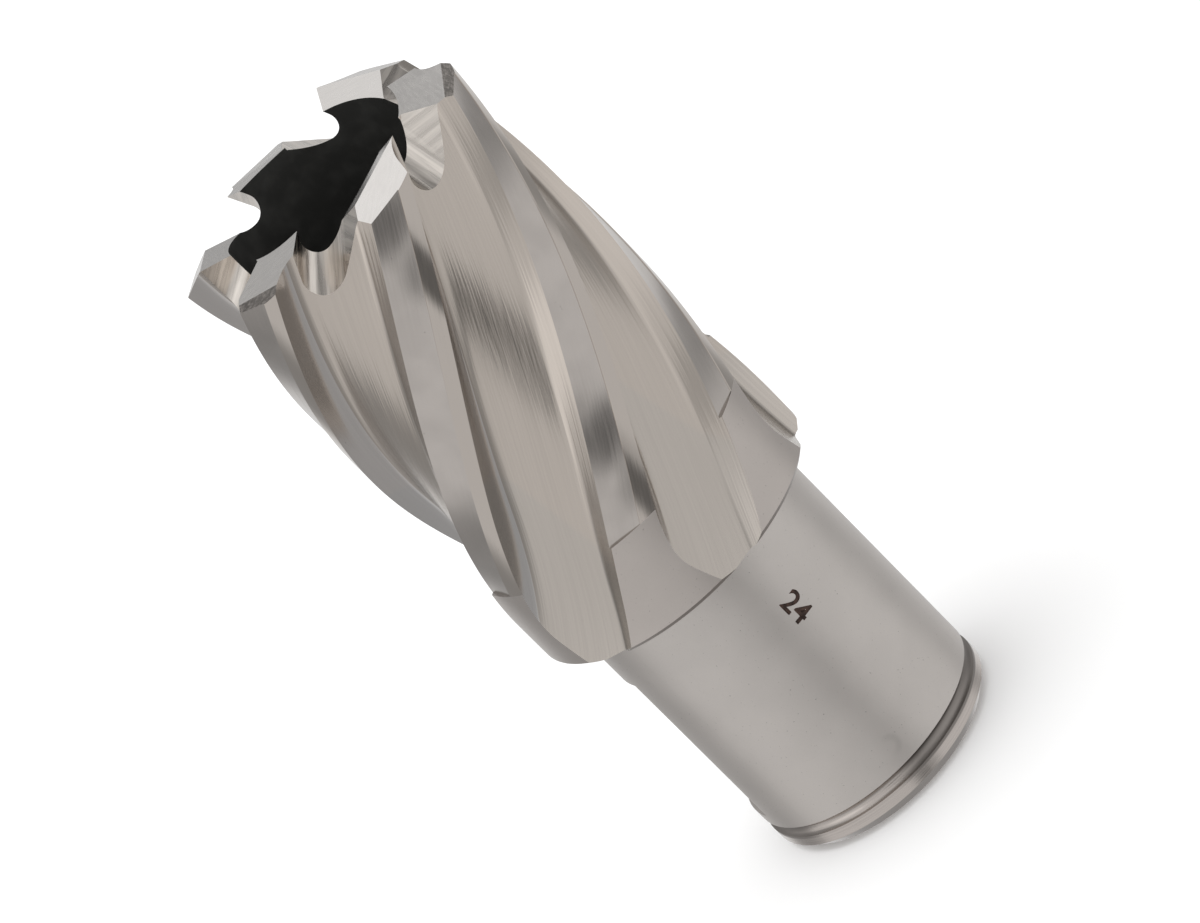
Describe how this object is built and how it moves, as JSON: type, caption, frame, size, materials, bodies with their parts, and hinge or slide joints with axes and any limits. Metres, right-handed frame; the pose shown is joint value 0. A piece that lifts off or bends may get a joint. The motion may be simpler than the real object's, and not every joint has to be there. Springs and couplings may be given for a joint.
{
  "type": "annular cutter",
  "caption": "Hollow hole cutter with helical flutes, a crown of cutting teeth round a core bore, and a plain cylindrical clamping shank with flats and a pilot pin hole.",
  "frame": {"origin": "centre of the shank's end face, on the cutter's axis", "axes": "+Z along the axis from the shank to the teeth, +X to the right in the picture's front view, +Y away from the viewer"},
  "size_m": [0.024, 0.024, 0.0621],
  "materials": {
    "tool_steel": "bare ground and milled tool steel, satin"
  },
  "bodies": {
    "root": {"annular_cutter": "tool_steel"}
  },
  "joints": []
}
